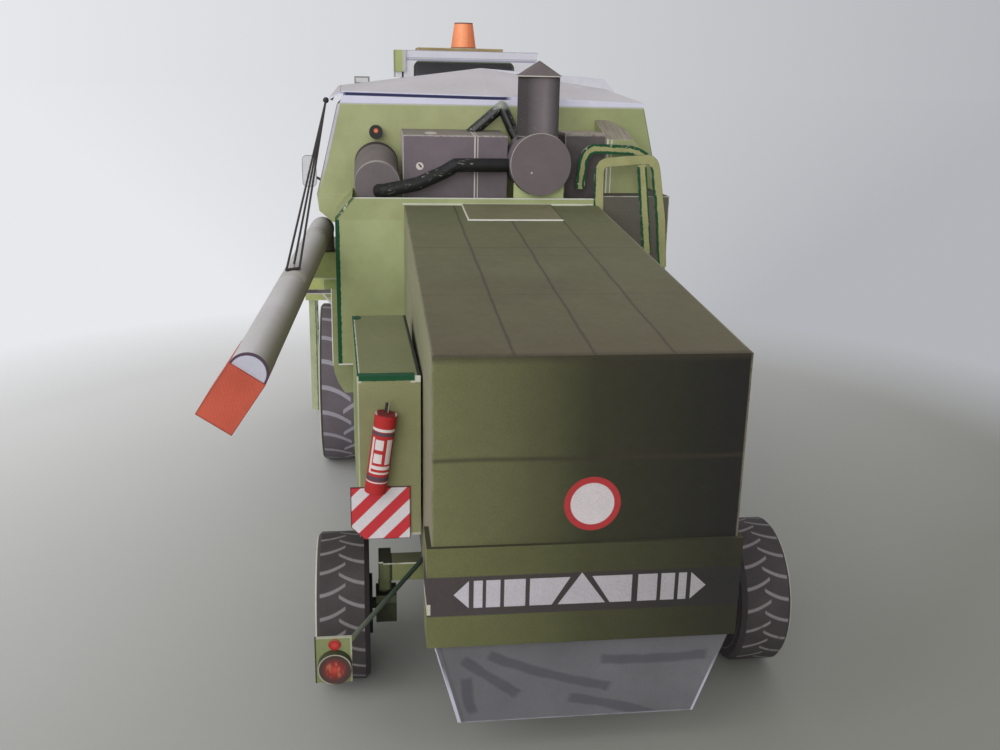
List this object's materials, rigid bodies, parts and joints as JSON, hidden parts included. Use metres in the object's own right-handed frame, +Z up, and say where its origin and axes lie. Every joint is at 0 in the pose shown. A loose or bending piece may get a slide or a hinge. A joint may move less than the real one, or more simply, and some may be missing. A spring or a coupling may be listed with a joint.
{
  "type": "card model of a combine harvester",
  "caption": "Card model of a combine harvester with a straw hood, grain tank, cab, swinging unloading auger, steerable rear wheels and rolling wheels.",
  "frame": {"origin": "on the floor under the middle of the whole model", "axes": "+X to the machine's left, +Y to its rear, +Z up; it drives towards -Y"},
  "size_m": [0.1721, 0.3421, 0.1801],
  "materials": {
    "green_card": "matt printed card in light green",
    "dark_green_card": "matt printed card in dark green",
    "grey_card": "matt printed card in grey",
    "pale_grey_card": "matt printed card in pale grey",
    "red_card": "matt printed card in red and white",
    "orange_card": "matt printed card in orange",
    "black_card": "card painted black",
    "tyre_card": "matt printed card with light tread bars",
    "rim_card": "matt printed card with white edges",
    "black_thread": "taut sewing thread"
  },
  "bodies": {
    "machine": {"air_filter": "grey_card", "arch_panels": "green_card", "auger_foot": "grey_card", "auger_rest": "green_card", "beacon": "orange_card", "bulkheads": "green_card", "cab_base": "green_card", "cab_roof": "pale_grey_card", "cab_shell": "pale_grey_card", "cab_side_unit": "green_card", "cooler_box": "grey_card", "driver_seat": "black_card", "engine_deck": "green_card", "engine_hose": "black_card", "engine_housing": "grey_card", "exhaust_pipe": "grey_card", "feeder_house": "green_card", "fenders": "green_card", "fire_extinguisher": "red_card", "front_axle_beam": "dark_green_card", "grain_tank": "green_card", "handrails": "green_card", "hood_hatch": "green_card", "hood_rear_lip": "green_card", "intake_drum": "grey_card", "intake_stack": "grey_card", "ladder_left": "green_card", "lamp_plate": "green_card", "mirrors": "green_card", "platform_left": "green_card", "radiator_housing": "green_card", "rear_axle_beam": "green_card", "rear_lamp": "red_card", "roof_hatch": "pale_grey_card", "screen_box": "grey_card", "side_box": "green_card", "side_case_left": "green_card", "side_case_right": "green_card", "steering_column": "black_card", "straw_apron": "grey_card", "straw_hood": "green_card", "tank_covers": "grey_card", "threshing_case": "dark_green_card", "warning_plate": "red_card", "work_light": "orange_card"},
    "rear_left_steer": {"knuckle_left": "dark_green_card"},
    "rear_right_steer": {"knuckle_right": "dark_green_card"},
    "rear_left_wheel": {"rear_tyre_left": "tyre_card", "rear_rim_left": "rim_card"},
    "rear_right_wheel": {"rear_tyre_right": "tyre_card", "rear_rim_right": "rim_card"},
    "front_left_wheel": {"front_tyre_left": "tyre_card", "front_rim_left": "rim_card"},
    "front_right_wheel": {"front_tyre_right": "tyre_card", "front_rim_right": "rim_card"},
    "auger": {"auger_tube": "pale_grey_card", "auger_spout": "red_card", "auger_threads": "black_thread"}
  },
  "joints": [
    {"name": "front_left_roll", "type": "hinge", "parent": "machine", "child": "front_left_wheel", "pos_m": [0.0464, -0.045, 0.0325], "axis": [1, 0, 0], "continuous": true},
    {"name": "rear_left_steering", "type": "hinge", "parent": "machine", "child": "rear_left_steer", "pos_m": [0.045, 0.1246, 0.0195], "axis": [0, 0, 1], "range_deg": [-22, 22]},
    {"name": "rear_left_roll", "type": "hinge", "parent": "rear_left_steer", "child": "rear_left_wheel", "pos_m": [0.0489, 0.1246, 0.0195], "axis": [1, 0, 0], "continuous": true},
    {"name": "front_right_roll", "type": "hinge", "parent": "machine", "child": "front_right_wheel", "pos_m": [-0.0464, -0.045, 0.0325], "axis": [1, 0, 0], "continuous": true},
    {"name": "rear_right_steering", "type": "hinge", "parent": "machine", "child": "rear_right_steer", "pos_m": [-0.045, 0.1246, 0.0195], "axis": [0, 0, 1], "range_deg": [-22, 22]},
    {"name": "rear_right_roll", "type": "hinge", "parent": "rear_right_steer", "child": "rear_right_wheel", "pos_m": [-0.0489, 0.1246, 0.0195], "axis": [1, 0, 0], "continuous": true},
    {"name": "auger_swing", "type": "hinge", "parent": "machine", "child": "auger", "pos_m": [0.0654, -0.03, 0.0986], "axis": [0, 0, -1], "range_deg": [0, 90]}
  ]
}
